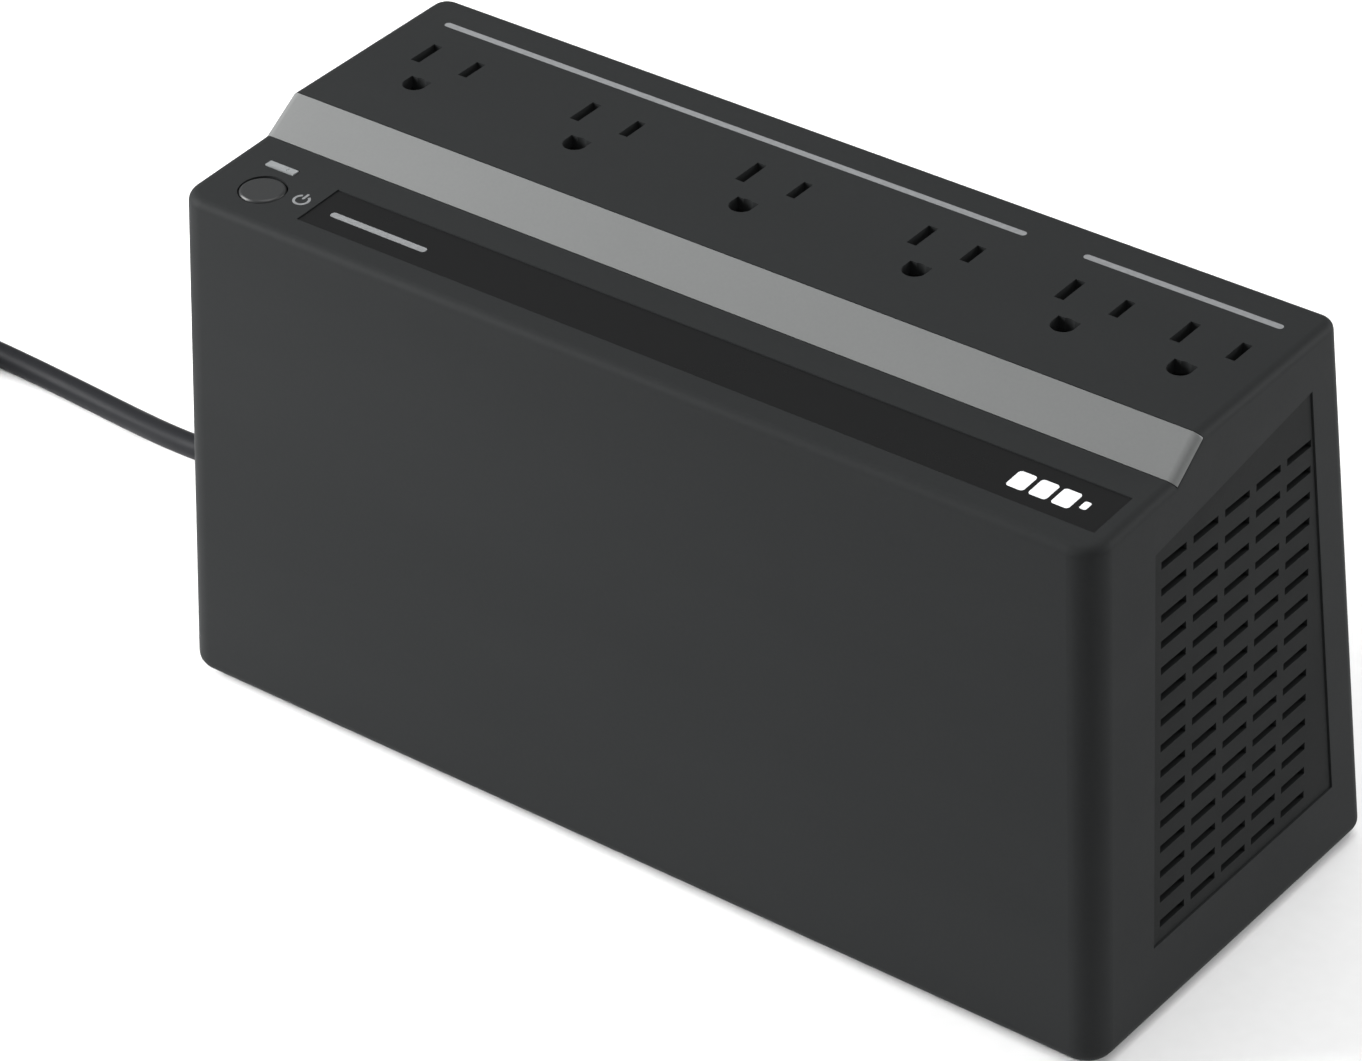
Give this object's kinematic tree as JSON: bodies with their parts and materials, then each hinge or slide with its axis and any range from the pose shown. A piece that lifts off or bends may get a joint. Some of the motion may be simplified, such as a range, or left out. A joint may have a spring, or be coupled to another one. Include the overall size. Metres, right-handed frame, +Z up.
{
  "type": "uninterruptible power supply",
  "caption": "Desktop battery backup unit: drafted plastic case with outlets along its top, a sloped grey strip, a gloss control band, vented ends and a mains cord with a plug.",
  "frame": {"origin": "on the surface the feet stand on, below the middle of the case without its free cord", "axes": "+X along the case's length, towards the pair of surge-only outlets; +Y from the control ledge to the rear; +Z up"},
  "size_m": [0.4615, 0.1568, 0.1358],
  "materials": {
    "case_plastic": "satin, fine moulded texture",
    "base_plastic": "satin",
    "vent_plastic": "satin, fine moulded texture",
    "strip_plastic": "metallic silver-grey, satin",
    "band_gloss": "polished",
    "button_plastic": "semi-gloss",
    "lens_clear": "frosted clear",
    "lens_led": "clear",
    "switch_plastic": "matt",
    "carrier_plastic": "matt",
    "contact_brass": "bright",
    "insulation_sheet": "matt",
    "screw_steel": "zinc plated",
    "foot_rubber": "matt",
    "battery_plastic": "satin",
    "battery_lid_plastic": "satin",
    "foam_pad": "cellular",
    "lead_red": "vinyl",
    "lead_black": "vinyl",
    "sleeve_vinyl": "translucent vinyl",
    "core_steel": "varnished laminations",
    "coil_tape": "polyester tape",
    "frame_steel": "zinc plated",
    "board_laminate": "solder mask",
    "sink_aluminium": "extruded",
    "chip_plastic": "matt",
    "relay_plastic": "satin",
    "can_aluminium": "sleeved",
    "varistor_coat": "dipped epoxy",
    "breaker_plastic": "matt",
    "breaker_cap_plastic": "semi-gloss",
    "cord_vinyl": "satin vinyl",
    "tie_plastic": "vinyl",
    "plug_vinyl": "satin vinyl",
    "blade_metal": "nickel plated"
  },
  "bodies": {
    "case": {"case_housing": "case_plastic", "base_plate": "base_plastic", "left_vent_panel": "vent_plastic", "right_vent_panel": "vent_plastic", "accent_strip": "strip_plastic", "control_band": "band_gloss", "power_switch": "switch_plastic", "light_pipe": "lens_clear", "status_led": "lens_led", "control_board": "board_laminate", "outlet_carrier": "carrier_plastic", "neutral_bus": "contact_brass", "hot_bus_backup": "contact_brass", "hot_bus_surge": "contact_brass", "ground_bus": "contact_brass", "bus_insulator": "insulation_sheet", "base_screws": "screw_steel", "carrier_screws": "screw_steel", "panel_screws": "screw_steel", "transformer_screws": "screw_steel", "rubber_feet": "foot_rubber", "battery_case": "battery_plastic", "battery_cover": "battery_lid_plastic", "battery_terminals": "blade_metal", "battery_pads": "foam_pad", "battery_lead_plus": "lead_red", "battery_lead_minus": "lead_black", "lead_receptacles": "sleeve_vinyl", "transformer_core": "core_steel", "transformer_coil": "coil_tape", "transformer_frame": "frame_steel", "main_board": "board_laminate", "heat_sink": "sink_aluminium", "power_transistors": "chip_plastic", "transfer_relays": "relay_plastic", "filter_capacitors": "can_aluminium", "surge_varistors": "varistor_coat", "alarm_buzzer": "chip_plastic", "breaker_body": "breaker_plastic", "cord_bushing": "cord_vinyl", "power_cord": "cord_vinyl", "cord_coil": "cord_vinyl", "cord_tail": "cord_vinyl", "coil_tie": "tie_plastic", "plug_body": "plug_vinyl", "plug_blades": "blade_metal", "plug_ground_pin": "blade_metal"},
    "power_button": {"power_button": "button_plastic", "switch_plunger": "switch_plastic"},
    "breaker_button": {"breaker_button": "breaker_cap_plastic"}
  },
  "joints": [
    {"name": "power_button_press", "type": "slide", "parent": "case", "child": "power_button", "axis": [0, 0, -1], "range_m": [0, 0.001], "stiffness_N_per_m": 800, "springref_m": -0.001},
    {"name": "breaker_button_pop", "type": "slide", "parent": "case", "child": "breaker_button", "axis": [-1, 0, 0], "range_m": [0, 0.003]}
  ]
}
